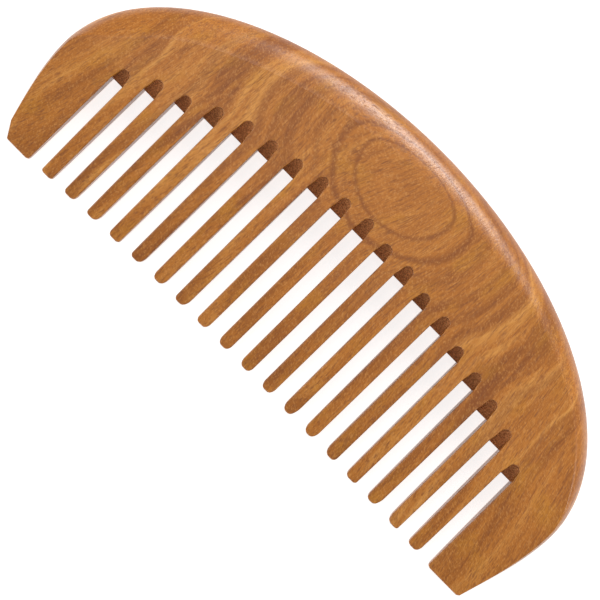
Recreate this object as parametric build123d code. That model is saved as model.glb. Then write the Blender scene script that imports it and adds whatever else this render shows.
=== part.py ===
from build123d import *
import math
import os

# Wide tooth comb, cut and sanded from one board. Millimetres.
# While it is being shaped the comb lies flat with the middle of the board at z = 0: X runs along the
# comb, and Y from the tips of the end teeth (y = 0) to the top of the spine.

# Outline
length = 140.0
shoulder_height = 22.3  # from the end teeth's tips to the widest line
arch_height = 38.5  # from the widest line to the top of the spine
foot_inset = 4.6  # how far each side comes in from the widest line to the tip of its end tooth
foot_lean = 15.0  # degrees, how far the sides lean in at the feet

# Thickness
thickness = 9.0
tip_thickness = 3.4
taper_start = 30.0  # height above the tips at which both faces begin to curve in

# Rounded edge of the spine, broad over the left shoulder and narrow over the right one
round_left = 9.5
round_right = 3.2
round_foot = 0.9  # along the outer sides of the end teeth
round_fullness = 1.03  # over 1 leaves a soft crease where the rounding meets the flat face

# Teeth and gaps
pitch = 6.19
root_gap = 3.0
tip_gap = 3.34
row_offset = -0.8  # the row of teeth sits a little to the left of the middle
throat_radius = 126.0
throat_height = 36.8
tip_rise_middle = 1.6
tip_rise_end = 0.45
edge_softness = 0.25  # sanded round along every edge of the teeth and gaps on both faces
foot_bevels = [(1.2, 3.5), (0.5, 0.5)]  # across and up, off the outer corners of the two end teeth
foot_radius = 0.5  # where those bevels meet the feet

# Hand-rounded corners of the teeth at their tips. Their heights on the left and the right of each gap:
left_corners = [1.1, 1.0, 1.7, 2.3, 1.0, 2.4, 2.2, 2.5, 1.8, 1.8]
left_corners += [1.7, 2.0, 3.2, 2.4, 1.4, 0.9, 3.0, 0.7, 1.9]
right_corners = [0.8, 1.2, 1.1, 1.4, 1.2, 1.8, 1.3, 1.4, 2.0, 2.1]
right_corners += [1.9, 2.2, 2.3, 2.4, 1.7, 1.7, 2.5, 1.5, 1.3]
corner_width_least = 0.35
corner_width_share = 0.4  # of a corner's height, added to the least width
corner_width_most = 0.48  # of the width of a tooth's tip
corner_flat = 0.5  # how far along its height and its width a corner's slanted flat begins
tangent_fit = 0.97  # share of that flat which the two radii at its ends use up

# Cut-back at the head of each gap, from left to right. They are cut by hand, so their lengths differ.
recess_lengths = [3.3, 3.8, 3.1, 4.1, 4.7, 4.0, 3.9, 4.3, 4.0, 4.3]
recess_lengths += [3.4, 3.8, 3.1, 3.8, 2.9, 3.5, 4.1, 4.4, 3.4]
recess_shape = [(0.6, 0.87), (0.84, 0.4)]  # shares of its half width and its length, from the top down
recess_lip = 0.9  # depth at which a cut-back starts
ridge_land = 0.8  # left flat between the front cut-back and the back one

gap_count = len(recess_lengths)
tooth_count = gap_count - 1
half_thickness = thickness / 2
overall_height = shoulder_height + arch_height
skim = 0.05  # the taper's curve crosses the flat face instead of grazing it
overcut = 5.0  # how far a cutting shape runs past the board
hair = 0.01  # how far an edge may be from a face that it lies on


def gap_x(i):
    """Middle of gap i."""
    return row_offset + (i - (gap_count - 1) / 2) * pitch


def tooth_x(i):
    """Middle of combing tooth i."""
    return (gap_x(i) + gap_x(i + 1)) / 2


def throat_y(i):
    """Height of the head of gap i: the heads lie on one arc about the middle of the row."""
    off = gap_x(i) - row_offset
    return throat_height - throat_radius + math.sqrt(throat_radius**2 - off**2)


def tip_y(i):
    """Height of the tip of combing tooth i: the tips lie on a shallow hollow curve."""
    share = (tooth_x(i) - row_offset) / (tooth_x(tooth_count - 1) - row_offset)
    return tip_rise_middle - (tip_rise_middle - tip_rise_end) * share**2


def rounding(angle):
    """Width of the rounded edge at an angle round the arch: 0 at the right end, 180 at the left."""
    a = math.radians(angle)
    broad = (round_left + round_right) / 2 - (round_left - round_right) / 2 * math.cos(a)
    return round_foot + (broad - round_foot) * math.sqrt(math.sin(a))


def arch_point(angle, share):
    """Point on the arch, moved in from the edge by a share of the rounding's width."""
    a = math.radians(angle)
    edge = Vector(length / 2 * math.cos(a), shoulder_height + arch_height * math.sin(a))
    outward = Vector(arch_height * math.cos(a), length / 2 * math.sin(a)).normalized()
    return edge - outward * rounding(angle) * share


def outline(share, z):
    """The comb's outline at height z, moved in by a share of the rounding's width."""
    inset = round_foot * share
    half_foot = length / 2 - foot_inset - inset
    lean_x = math.sin(math.radians(foot_lean))
    lean_y = math.cos(math.radians(foot_lean))
    sunk = overcut * lean_y  # the feet are cut square later
    foot = Vector(half_foot - overcut * lean_x, -sunk)
    right = Vector(length / 2 - inset, shoulder_height)
    left = Vector(-right.X, right.Y)
    arch_points = [arch_point(angle, share) for angle in range(15, 180, 15)]
    even = [1, 1]  # unit tangents, which suit the curves' length-based spacing
    side_tangents = [(lean_x, lean_y), (0, 1)]
    right_side = Spline(foot, (half_foot, 0), right, tangents=side_tangents, tangent_scalars=even)
    arch = Spline(right, *arch_points, left, tangents=[(0, 1), (0, -1)], tangent_scalars=even)
    left_side = mirror(right_side, Plane.YZ)
    edges = [Line((-foot.X, foot.Y), foot), right_side, arch, left_side]
    return Pos(0, 0, z) * make_face(edges)


def blank():
    """The board with its rounded spine, before the teeth are cut."""
    full = half_thickness * round_fullness
    steepest = math.asin(half_thickness / full)
    sections = []
    for step in range(-4, 5):
        a = steepest * step / 4
        share = (1 - math.cos(a)) / (1 - math.cos(steepest))
        sections.append(outline(share, full * math.sin(a)))
    return loft(sections)


def both_faces(cutter):
    """A cutter for the front face and its mirror image for the back one."""
    return [cutter, mirror(cutter, Plane.XY)]


def taper_point(y):
    """Point on the arc along which the front face curves in towards the tips, as (y, z)."""
    drop = (thickness - tip_thickness) / 2 + skim
    radius = taper_start**2 / (2 * drop) + drop / 2
    sag = radius - math.sqrt(radius**2 - (taper_start - y) ** 2)
    return (y, half_thickness + skim - sag)


def taper_cutter():
    """Wood sanded off the front face below the start of the taper."""
    above = half_thickness + overcut
    low = -overcut * 2
    start = taper_point(taper_start)
    arc = ThreePointArc(taper_point(low), taper_point((low + taper_start) / 2), start)
    rest = Polyline(start, (taper_start, above), (low, above), taper_point(low))
    return extrude(Plane.YZ * make_face([arc, rest]), length / 2 + overcut, both=True)


def corner(i, side):
    """Where one wall of gap i, -1 being the left one, turns in to the tip of the tooth beside it.

    It is rounded by hand: two points with a slanted flat between them, and the radius at each.
    """
    tooth = i if side > 0 else i - 1
    height = right_corners[i] if side > 0 else left_corners[i]
    tip = tip_y(tooth) if 0 <= tooth < tooth_count else 0.0
    most = (pitch - tip_gap) * corner_width_most
    width = min(corner_width_least + height * corner_width_share, most)
    rise = height * corner_flat
    run = width * corner_flat
    wall = root_gap / 2 + (tip_gap - root_gap) / 2 * (1 - (tip + rise) / throat_y(i))
    upper = (gap_x(i) + side * wall, tip + rise)
    lower = (gap_x(i) + side * (wall + run), tip)
    lower_tangent = min(width, height) * (1 - corner_flat)
    upper_tangent = math.hypot(rise, run) * tangent_fit - lower_tangent
    turn = math.atan2(run, rise)
    upper_radius = upper_tangent / math.tan(turn / 2)
    lower_radius = lower_tangent / math.tan((math.pi / 2 - turn) / 2)
    return upper, upper_radius, lower, lower_radius


def foot_corner(side, across, up):
    """The planed outer corner of an end tooth: a point beyond the board, and the one where it starts."""
    start_x = length / 2 - foot_inset - across
    run = across + up * math.tan(math.radians(foot_lean))
    beyond = length / 2 - start_x
    return (side * (start_x + beyond), up / run * beyond), (side * start_x, 0)


def row_cutter():
    """All that is sawn away between and below the teeth."""
    left_end, left_start = foot_corner(-1, *foot_bevels[0])
    right_end, right_start = foot_corner(1, *foot_bevels[1])
    points = [left_end, left_start]
    radii = [foot_radius]
    for i in range(gap_count):
        upper, upper_radius, lower, lower_radius = corner(i, -1)
        points += [lower, upper, (gap_x(i) - root_gap / 2, throat_y(i))]
        radii += [lower_radius, upper_radius, 0]
        upper, upper_radius, lower, lower_radius = corner(i, 1)
        points += [(gap_x(i) + root_gap / 2, throat_y(i)), upper, lower]
        radii += [0, upper_radius, lower_radius]
    points += [right_start, right_end]
    radii.append(foot_radius)
    row = FilletPolyline(*points, radius=radii)
    low = -overcut * 2
    below = Polyline(right_end, (right_end[0], low), (left_end[0], low), left_end)
    return extrude(make_face([row, below]), half_thickness + overcut, both=True)


def recess_cutter(i):
    """The arched ramp at the head of a gap, from the front face down to the ridge in the middle."""
    head = throat_y(i)
    half = root_gap / 2
    reach = recess_lengths[i] - edge_softness
    above = half_thickness + overcut
    wall = (tip_gap - root_gap) / 2 / head
    left_points = [(-half * across, head + reach * up) for across, up in recess_shape] + [(-half, head)]
    right_points = [(-x, y) for x, y in reversed(left_points)]
    ends = [(-wall, 1), (-wall, -1)]
    arch = Spline(*right_points, (0, head + reach), *left_points, tangents=ends, tangent_scalars=[1, 1])
    sill = Line((-half, head), (half, head))
    prism = extrude(make_face([arch, sill]), above)
    low = (head, ridge_land / 2)
    high = (head + reach, half_thickness - recess_lip)
    back = head + reach + overcut
    ramp = Polyline(low, high, (back, high[1]), (back, above), (head, above), close=True)
    wedge = extrude(Plane.YZ * make_face(ramp), root_gap, both=True)
    return Pos(gap_x(i), 0, 0) * (prism & wedge)


def on_a_face(edge):
    """Whether an edge runs across the front or the back face, the tapered part included."""
    for point in (edge @ 0, edge @ 0.5, edge @ 1):
        level = half_thickness
        if point.Y < taper_start:
            level = min(level, taper_point(point.Y)[1])
        if abs(abs(point.Z) - level) > hair:
            return False
    return True


def comb():
    """The whole comb in one solid."""
    cutters = [*both_faces(taper_cutter()), row_cutter()]
    for i in range(gap_count):
        cutters.extend(both_faces(recess_cutter(i)))
    cut = blank() - cutters
    half_foot = length / 2 - foot_inset
    in_row = cut.edges().filter_by(lambda e: abs(e.center().X) < half_foot)
    rims = in_row.filter_by(Axis.X, reverse=True).filter_by(on_a_face)
    return fillet(rims, edge_softness)


def tooth_zone(left, right, top):
    """Box round one tooth, up to the lower of the two gap heads beside it."""
    low = -overcut
    zone = Pos((left + right) / 2, (low + top) / 2, 0) * Rectangle(right - left, top - low)
    return extrude(zone, half_thickness + overcut, both=True)


def split(whole):
    """The comb as its regions, which meet face to face: each tooth up to its root, then the spine."""
    far = length / 2 + overcut
    zones = {"guard_tooth_left": tooth_zone(-far, gap_x(0), throat_y(0))}
    for i in range(tooth_count):
        top = min(throat_y(i), throat_y(i + 1))
        zones[f"tooth_{i + 1:02d}"] = tooth_zone(gap_x(i), gap_x(i + 1), top)
    last = gap_count - 1
    zones["guard_tooth_right"] = tooth_zone(gap_x(last), far, throat_y(last))
    nodes = {name: whole & zone for name, zone in zones.items()}
    nodes["spine"] = whole - list(zones.values())
    return nodes


# The origin is the middle of the comb's footprint on the surface that it lies on.
at_rest = Pos(0, -overall_height / 2, half_thickness)

os.makedirs("parts", exist_ok=True)
for name, shape in split(comb()).items():
    export_step(at_rest * shape, f"parts/{name}.step")
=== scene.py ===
import math

import bmesh
import bpy
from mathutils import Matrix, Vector


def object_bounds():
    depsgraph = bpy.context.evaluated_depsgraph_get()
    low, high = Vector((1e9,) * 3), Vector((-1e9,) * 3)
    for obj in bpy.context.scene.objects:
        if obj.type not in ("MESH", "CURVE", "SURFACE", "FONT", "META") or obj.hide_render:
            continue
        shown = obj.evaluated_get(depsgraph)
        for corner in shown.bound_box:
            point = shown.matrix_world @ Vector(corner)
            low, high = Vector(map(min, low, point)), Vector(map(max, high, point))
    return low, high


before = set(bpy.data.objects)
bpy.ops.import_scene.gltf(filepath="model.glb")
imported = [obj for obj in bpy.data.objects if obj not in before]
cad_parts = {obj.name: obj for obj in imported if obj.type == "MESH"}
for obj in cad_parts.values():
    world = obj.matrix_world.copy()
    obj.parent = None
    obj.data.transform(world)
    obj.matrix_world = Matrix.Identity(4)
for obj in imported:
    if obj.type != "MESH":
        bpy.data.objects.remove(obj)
cad_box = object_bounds()
low, high = (Vector(corner) for corner in cad_box)

# Camera. It looks straight down on the comb, turned so that the comb lies across the picture from
# the upper left to the lower right with its teeth towards the lower left.
camera_height = 0.760
turn = math.radians(45.46)
aim = Vector((0.00046, -0.0111, (low.z + high.z) / 2))
picture_width = 0.12116
camera_data = bpy.data.cameras.new("camera")
camera_data.sensor_width = 36.0
camera_data.lens = camera_data.sensor_width * camera_height / picture_width
camera_data.clip_end = 10.0
camera = bpy.data.objects.new("camera", camera_data)
camera.location = aim + Vector((0, 0, camera_height))
camera.rotation_euler = (0, 0, turn)
bpy.context.scene.collection.objects.link(camera)
bpy.context.scene.camera = camera


# Table. A plain white light table: a smooth white sheet with a soft glow from below, so that the gaps
# between the teeth stay bright.
table_size = 3.0
table_gap = 0.0002  # below the comb, so that no two faces lie in one plane
table_mesh = bpy.data.meshes.new("table")
shape = bmesh.new()
bmesh.ops.create_grid(shape, x_segments=1, y_segments=1, size=table_size / 2)
bmesh.ops.translate(shape, verts=shape.verts, vec=(0, 0, low.z - table_gap))
shape.to_mesh(table_mesh)
shape.free()
table = bpy.data.objects.new("table", table_mesh)
bpy.context.scene.collection.objects.link(table)
table_white = bpy.data.materials.new("white_acrylic")
table_white.use_nodes = True
table_shader = table_white.node_tree.nodes["Principled BSDF"]
table_shader.inputs["Base Color"].default_value = (0.50, 0.50, 0.50, 1)
table_shader.inputs["Roughness"].default_value = 0.6
table_shader.inputs["Emission Color"].default_value = (1, 1, 1, 1)
table_shader.inputs["Emission Strength"].default_value = 0.82
table_mesh.materials.append(table_white)


# Studio light. One softbox beyond the spine gives the sheen along its rounded edge, a small one shows
# the crease on the left shoulder, two wide ones light the sides, and a pale room fills the shadows.
def softbox(name, place, width, depth, watts):
    """A rectangular light of that width and depth, in metres, turned to the middle of the comb."""
    light = bpy.data.lights.new(name, "AREA")
    light.shape = "RECTANGLE"
    light.size = width
    light.size_y = depth
    light.energy = watts
    lamp = bpy.data.objects.new(name, light)
    lamp.location = place
    lamp.rotation_euler = (-Vector(place)).to_track_quat("-Z", "Y").to_euler()
    bpy.context.scene.collection.objects.link(lamp)


softbox("spine_softbox", (-0.06, 0.74, 0.52), 0.34, 0.30, 5.2)
softbox("shoulder_softbox", (-0.16, 0.22, 1.0), 0.14, 0.14, 0.6)
softbox("right_softbox", (0.62, 0.20, 0.55), 0.30, 0.30, 1.6)
softbox("left_softbox", (-0.70, -0.25, 0.70), 0.45, 0.45, 2.2)
room = bpy.data.worlds.new("room")
room.use_nodes = True
room.node_tree.nodes["Background"].inputs["Color"].default_value = (1, 1, 1, 1)
room.node_tree.nodes["Background"].inputs["Strength"].default_value = 0.36
bpy.context.scene.world = room
bpy.context.scene.view_settings.view_transform = "Standard"


# Spine. The arched back that is held in the hand, of a close-grained reddish hardwood whose grain runs
# along the teeth. A bulge in its growth layers shows as an eye in the middle. It is sanded round by
# hand and rubbed with oil, which leaves a satin sheen and darkens the end grain; painted shade is
# added to that dark end grain, and painted light to the cut-back ramps.
class Value:
    """A value in the wood's shader, so that its maths reads as plain sums."""

    def __init__(self, socket):
        self.socket = socket

    def node(self, kind, settings, sockets, output=0):
        """The result of a new node, whose settings are set before its sockets."""
        tree = self.socket.id_data
        made = tree.nodes.new(kind)
        for name, value in settings.items():
            setattr(made, name, value)
        for name, value in sockets.items():
            if isinstance(value, Value):
                tree.links.new(value.socket, made.inputs[name])
            else:
                made.inputs[name].default_value = value
        return Value(made.outputs[output])

    def math(self, operation, *values):
        return self.node("ShaderNodeMath", {"operation": operation}, dict(enumerate((self, *values))))

    def __add__(self, other):
        return self.math("ADD", other)

    def __sub__(self, other):
        return self.math("SUBTRACT", other)

    def __rsub__(self, other):
        return self * -1 + other

    def __mul__(self, other):
        return self.math("MULTIPLY", other)

    def __truediv__(self, other):
        return self.math("DIVIDE", other)

    def __abs__(self):
        return self.math("ABSOLUTE")

    __radd__ = __add__
    __rmul__ = __mul__

    def ease(self, start, end):
        """0 before start, 1 after end and a smooth rise between them."""
        smooth = {"interpolation_type": "SMOOTHSTEP"}
        return self.node("ShaderNodeMapRange", smooth, {0: self, 1: start, 2: end})

    def bump(self, middle, reach):
        """1 at the middle, falling smoothly to 0 at the reach on both sides."""
        return abs(self - middle).ease(reach, 0)

    def mix(self, first, second):
        """A colour between two, this value being the share of the second."""
        return self.node("ShaderNodeMix", {"data_type": "RGBA"}, {0: self, 6: first, 7: second}, 2)


wood = bpy.data.materials.new("oiled_wood")
wood.use_nodes = True
wood_shader = wood.node_tree.nodes["Principled BSDF"]
coordinates = wood.node_tree.nodes.new("ShaderNodeTexCoord")
place = Value(coordinates.outputs["Object"])
facing = Value(coordinates.outputs["Normal"])
mm_per_m = 1000
x, y, z = (place.node("ShaderNodeSeparateXYZ", {}, {0: place}, axis) * mm_per_m for axis in "XYZ")


def noise(across, along, through, detail=2.0, roughness=0.5):
    """Noise about 0.5, read at a place that is given in features across, along and through the board.

    x / 30 makes features 30 mm wide. A number that is added to a place keeps two patterns apart.
    """
    spot = place.node("ShaderNodeCombineXYZ", {}, {0: across, 1: along, 2: through})
    sockets = {"Vector": spot, "Scale": 1.0, "Detail": detail, "Roughness": roughness}
    return place.node("ShaderNodeTexNoise", {}, sockets)


# The growth layers, numbered in millimetres of width from the middle of the eye. They close round the
# eye, which is flat at the top and tapers below, run down to the tips on both sides of it, and come up
# again where the rounded edge cuts down into them.
eye_middle = -0.7
eye_height = 21.0
eye_end = 20.0
eye_crown = 2.5  # how much closer the layers lie above the middle of the eye than beside it
eye_keel = 1.32  # and below it
layer_slope = 1.3  # how far a layer moves out for each millimetre of depth
spread_height = -10.0  # the layers spread in a fan above this height
spread = 0.004
face = high.z * mm_per_m
drift = noise(x / 30, y / 60, z / 30 + 3.7, 1.0) - 0.5
sway = noise(x / 8, y / 22, z / 8 + 9.1, 1.0) - 0.5
waver = noise(x / 1.6, y / 4, z / 2 + 5.3, 2.0) - 0.5
fan = (x - eye_middle) * (1 + (y - spread_height) * spread)
above = (y - eye_height) * eye_crown
below = (eye_height - y) * eye_keel
rise = above.math("SMOOTH_MAX", below, 3.0).math("SMOOTH_MIN", eye_end, 5.0)
ring = (fan * fan + rise * rise).math("SQRT")
outside = ring.ease(14, 26)
layer = ring + (face - z) * layer_slope + (drift * 8 + sway * 2.6) * outside + sway * 1.2 + waver * 0.5

# The fibres run along the teeth, and lean to the right where they cross the eye.
lean_start = 4.0
lift = (y - lean_start).math("SMOOTH_MAX", 0.0, 4.0)
lean = x.bump(2, 26) * 0.42 - x.bump(-25, 14) * 0.2 + x.bump(24, 14) * 0.18
fibre = fan - lean * lift + sway * 1.2 + waver * 0.12

# Colour of the growth layers, from dark late wood to pale early wood. Inside the eye it is even.
broad = noise(layer / 4.5, y / 90, z / 40, 1.0) - 0.5
narrow = noise(layer / 1.1, y / 60, z / 25 + 4.4, 2.0, 0.6) - 0.5
streak = noise(fibre / 1.6, y / 45, z / 6 + 1.9, 3.0, 0.65) - 0.5
blotch = noise(fibre / 7, y / 12, z / 9 + 6.6, 2.0) - 0.5
tone = 0.5 + (broad * 1.0 + narrow * 0.7) * (0.25 + outside * 0.75) + streak * 0.75 + blotch * 0.3
dark_wood = (0.240, 0.066, 0.007, 1)
middle_wood = (0.450, 0.152, 0.018, 1)
pale_wood = (0.660, 0.290, 0.060, 1)
colour = tone.ease(0.08, 0.55).mix(dark_wood, middle_wood)
colour = tone.ease(0.45, 1.0).mix(colour, pale_wood)

# Patches where the wood is more golden.
golden_wood = (0.520, 0.215, 0.016, 1)
colour = (noise(fibre / 5, y / 9, z / 9 + 2.2, 2.0).ease(0.5, 0.75) * 0.45).mix(colour, golden_wood)

# Dark lines where a layer ends: each has its place from the middle of the eye, its half width and its
# depth of colour.
lines = [(13.2, 1.1, 0.65), (15.5, 0.5, 0.15), (18.3, 1.2, 0.75), (22.0, 1.0, 0.35), (27.5, 1.4, 0.4)]
lines += [(33.0, 1.0, 0.5), (36.5, 1.8, 0.5), (44.0, 1.2, 0.35), (52.0, 1.6, 0.45), (61.0, 1.4, 0.4)]
# Colour of the dark layer lines, also used as painted shade on the spine's outer edge.
layer_line_and_shade_colour = (0.225, 0.060, 0.007, 1)
for middle, reach, depth in lines:
    colour = (layer.bump(middle, reach) * depth).mix(colour, layer_line_and_shade_colour)

# Pores, which are short dark strokes along the fibres, and a fine fleck across them.
pore = noise(fibre / 0.34, y / 2.6, z / 0.34, 1.0).ease(0.54, 0.68)
fine_pore = noise(fibre / 0.19 + 31, y / 1.3, z / 0.19, 1.0).ease(0.48, 0.66)
fleck = noise(fibre / 0.50 + 3, (y + fibre * 0.5) / 0.40, z / 0.4, 2.0, 0.7)
pore_colour = (0.190, 0.052, 0.008, 1)
fleck_colour = (0.720, 0.340, 0.100, 1)
colour = (fleck.ease(0.48, 0.70) * 0.38).mix(colour, fleck_colour)
colour = (pore * 0.36 + fine_pore * 0.36).mix(colour, pore_colour)

# End grain drinks more oil, so it is painted dark brown round the cut-backs and on the tips, which
# also paints in the shade that falls there. On the cut-back ramps a paler colour replaces it, painted
# light that lifts them out of their shade. Along the spine's outer edge the darkening is milder, end
# grain and painted shade.
north = facing.node("ShaderNodeSeparateXYZ", {}, {0: facing}, "Y")
cut_end = (north * -1).ease(0.25, 0.6)
cut_back_light_mask = (north * -1).bump(0.64, 0.30)
spine_end_grain_and_shade = north.ease(0.45, 1.0)
end_pores = noise(x / 0.3, y / 0.35, z / 0.3 + 8.8, 2.0, 0.7)
end_grain = end_pores.ease(0.35, 0.65)
# Dark end grain colour for the tips and round the cut-backs, which also holds painted shade.
end_grain_and_shade_colour = end_grain.mix((0.200, 0.062, 0.018, 1), (0.480, 0.190, 0.065, 1))
# Paler colour for the cut-back ramps: painted light that lifts the shade in them.
cut_back_painted_light_colour = end_grain.mix((0.400, 0.135, 0.034, 1), (0.860, 0.370, 0.130, 1))
colour = (cut_end * 0.9).mix(colour, end_grain_and_shade_colour)
colour = cut_back_light_mask.mix(colour, cut_back_painted_light_colour)
# Milder darkening of the spine's outer edge: end grain and painted shade.
colour = (spine_end_grain_and_shade * 0.55).mix(colour, layer_line_and_shade_colour)
wood.node_tree.links.new(colour.socket, wood_shader.inputs["Base Color"])

# Satin finish, duller in the pores and on the end grain, over a relief a few hundredths of a
# millimetre deep.
relief_depth = 0.00003
sanding = noise(fibre / 0.35 + 7, y / 6, z / 0.35, 2.0)
gloss = 0.32 + pore * 0.10 + cut_end * 0.4 + (sanding - 0.5) * 0.10
wood.node_tree.links.new(gloss.socket, wood_shader.inputs["Roughness"])
relief = sanding * 0.15 - pore * 0.12 - fine_pore * 0.08 + fleck * 0.05 + cut_end * end_pores * 3
dent = place.node("ShaderNodeBump", {}, {"Strength": 1.0, "Distance": relief_depth, "Height": relief})
wood.node_tree.links.new(dent.socket, wood_shader.inputs["Normal"])
wood_shader.inputs["Specular IOR Level"].default_value = 0.55

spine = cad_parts["spine"]
spine.data.materials.clear()
spine.data.materials.append(wood)


# End teeth. The two broad teeth that guard the row, left in the same board and under the same oil. Their
# outer corners are planed off and their feet stand on one line.
for name in ("guard_tooth_left", "guard_tooth_right"):
    end_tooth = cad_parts[name]
    end_tooth.data.materials.clear()
    end_tooth.data.materials.append(wood)


# Combing teeth. Eighteen slim teeth, sawn out of the same board so that its grain runs on into each of
# them, thinned towards their tips and rounded there by hand.
combing_teeth = 18
for number in range(1, combing_teeth + 1):
    combing_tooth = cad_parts[f"tooth_{number:02d}"]
    combing_tooth.data.materials.clear()
    combing_tooth.data.materials.append(wood)
